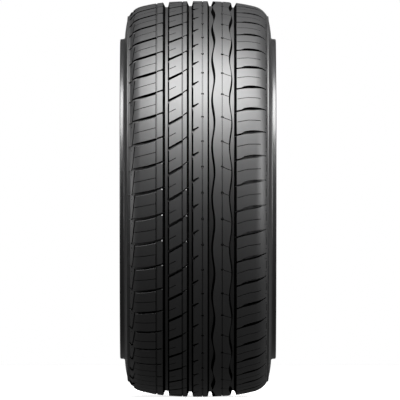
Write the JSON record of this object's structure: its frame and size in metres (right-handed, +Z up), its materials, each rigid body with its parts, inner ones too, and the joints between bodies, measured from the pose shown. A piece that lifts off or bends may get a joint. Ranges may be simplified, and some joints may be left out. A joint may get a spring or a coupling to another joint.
{
  "type": "car tyre",
  "caption": "Low-profile radial car tyre with an asymmetric ribbed tread, slanted cross grooves and rim guards; its two beads seat on a wheel rim and hold the air.",
  "frame": {"origin": "centre of the tyre, on its axis and midway between its beads", "axes": "+Y along the spin axis, +Z up as the tyre stands on its tread, +X radial, towards the side that the picture shows"},
  "size_m": [0.661, 0.26, 0.661],
  "materials": {
    "tyre": "matte moulded black rubber"
  },
  "bodies": {
    "root": {"tyre": "tyre"}
  },
  "joints": []
}
